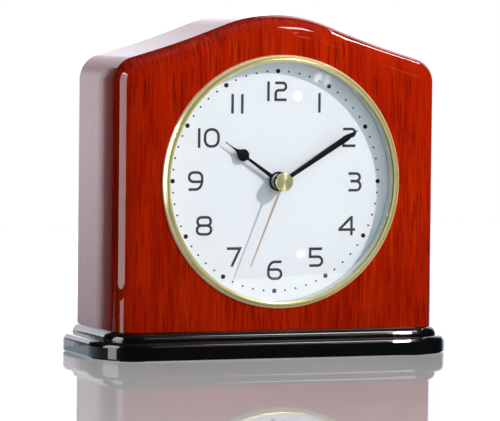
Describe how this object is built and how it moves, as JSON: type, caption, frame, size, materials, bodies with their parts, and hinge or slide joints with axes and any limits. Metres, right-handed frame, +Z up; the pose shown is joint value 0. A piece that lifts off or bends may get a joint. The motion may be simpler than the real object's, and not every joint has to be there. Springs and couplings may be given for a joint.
{
  "type": "desk clock",
  "caption": "Wooden desk clock with a humped top, stepped black base, gold bezel, white dial under domed glass, hour, minute and second hands, and a quartz movement.",
  "frame": {"origin": "on the ground under the middle of the bounding box, at the underside of the four pads", "axes": "+Z up, the dial faces -Y, +X to the right as the dial is read"},
  "size_m": [0.1726, 0.0706, 0.1551],
  "materials": {
    "black_lacquer": "hard wood or fibreboard under high-gloss black lacquer",
    "wood_lacquer": "red-brown veneer with fine dark pores under high-gloss clear lacquer",
    "raw_wood": "plain sawn wood, unfinished",
    "back_board": "thin stained fibreboard, satin",
    "felt": "dark felt",
    "gold_plate": "polished brass, gold colour",
    "turned_brass": "turned brass with a fine circular grain",
    "silver_ring": "satin silver",
    "dial_white": "matt white paint with printed dark grey numerals and dots",
    "black_hand": "black, semi-gloss",
    "rose_metal": "thin pressed metal, muted rose gold",
    "steel": "plain steel",
    "clear_glass": "clear domed glass",
    "rubber_black": "black rubber",
    "housing_plastic": "moulded black plastic",
    "movement_plastic": "moulded black plastic",
    "plate_plastic": "moulded natural plastic",
    "wheel_plastic": "moulded natural plastic",
    "core_iron": "stamped soft iron sheet",
    "magnet": "sintered magnet with a plastic pinion",
    "copper_wire": "fine enamelled copper wire",
    "bobbin_plastic": "moulded plastic",
    "board_green": "green circuit board",
    "epoxy_black": "black epoxy",
    "can_metal": "drawn metal can",
    "cell_wrap": "plain sleeve, no print",
    "contact_metal": "nickel-plated spring sheet"
  },
  "bodies": {
    "case": {"plinth_base": "black_lacquer", "plinth_step": "black_lacquer", "foot_pads": "felt", "plinth_screws": "steel", "front_panel": "wood_lacquer", "case_shell": "wood_lacquer", "floor_board": "raw_wood", "corner_blocks": "raw_wood", "back_panel": "back_board", "back_panel_screws": "turned_brass", "bezel": "gold_plate", "lens_glass": "clear_glass", "lens_gasket": "rubber_black", "rehaut_ring": "silver_ring", "dial_plate": "dial_white", "insert_housing": "housing_plastic", "grip_ring": "rubber_black", "movement_front_case": "movement_plastic", "movement_rear_cover": "movement_plastic", "movement_screws": "steel", "train_plate": "plate_plastic", "train_bridge": "plate_plastic", "train_pillars": "turned_brass", "stator": "core_iron", "coil_core": "core_iron", "coil_bobbin": "bobbin_plastic", "coil_winding": "copper_wire", "circuit_board": "board_green", "driver_chip": "epoxy_black", "quartz_can": "can_metal", "contact_positive": "contact_metal", "contact_negative": "contact_metal"},
    "second": {"seconds_wheel": "wheel_plastic", "second_hand": "rose_metal", "second_hand_cap": "turned_brass"},
    "rotor": {"rotor": "magnet"},
    "intermediate": {"intermediate_wheel": "wheel_plastic"},
    "third": {"third_wheel": "wheel_plastic"},
    "minute": {"centre_wheel": "wheel_plastic", "clutch_spring": "contact_metal", "minute_arbor": "wheel_plastic", "minute_collet": "steel", "minute_hand": "black_hand"},
    "motion": {"motion_wheel": "wheel_plastic"},
    "hour": {"hour_wheel": "wheel_plastic", "hour_collet": "steel", "hour_hand": "black_hand"},
    "setting": {"setting_knob": "movement_plastic"},
    "battery": {"battery_cell": "cell_wrap"}
  },
  "joints": [
    {"name": "second_hand_turn", "type": "hinge", "parent": "case", "child": "second", "pos_m": [0, -0.021, 0.0798], "axis": [0, 1, 0], "continuous": true},
    {"name": "rotor_turn", "type": "hinge", "parent": "case", "child": "rotor", "pos_m": [0.00664, -0.021, 0.08771], "axis": [0, 1, 0], "continuous": true},
    {"name": "intermediate_turn", "type": "hinge", "parent": "case", "child": "intermediate", "pos_m": [0.00394, -0.021, 0.08449], "axis": [0, 1, 0], "continuous": true},
    {"name": "third_turn", "type": "hinge", "parent": "case", "child": "third", "pos_m": [0.00575, -0.021, 0.07771], "axis": [0, 1, 0], "continuous": true},
    {"name": "minute_hand_turn", "type": "hinge", "parent": "case", "child": "minute", "pos_m": [0, -0.021, 0.0798], "axis": [0, 1, 0], "continuous": true},
    {"name": "motion_turn", "type": "hinge", "parent": "case", "child": "motion", "pos_m": [-0.009, -0.021, 0.0798], "axis": [0, 1, 0], "continuous": true},
    {"name": "hour_hand_turn", "type": "hinge", "parent": "case", "child": "hour", "pos_m": [0, -0.021, 0.0798], "axis": [0, 1, 0], "continuous": true},
    {"name": "setting_knob_turn", "type": "hinge", "parent": "case", "child": "setting", "pos_m": [-0.01416, -0.021, 0.08717], "axis": [0, 1, 0], "continuous": true},
    {"name": "battery_slide", "type": "slide", "parent": "case", "child": "battery", "axis": [0, 1, 0], "range_m": [0, 0.04]}
  ],
  "couplings": [
    {"joint": "rotor_turn", "follows": "second_hand_turn", "ratio": 30},
    {"joint": "intermediate_turn", "follows": "second_hand_turn", "ratio": -6},
    {"joint": "third_turn", "follows": "second_hand_turn", "ratio": -0.13333},
    {"joint": "minute_hand_turn", "follows": "second_hand_turn", "ratio": 0.016667},
    {"joint": "motion_turn", "follows": "second_hand_turn", "ratio": -0.0055556},
    {"joint": "hour_hand_turn", "follows": "second_hand_turn", "ratio": 0.0013889},
    {"joint": "setting_knob_turn", "follows": "second_hand_turn", "ratio": 0.016667}
  ]
}
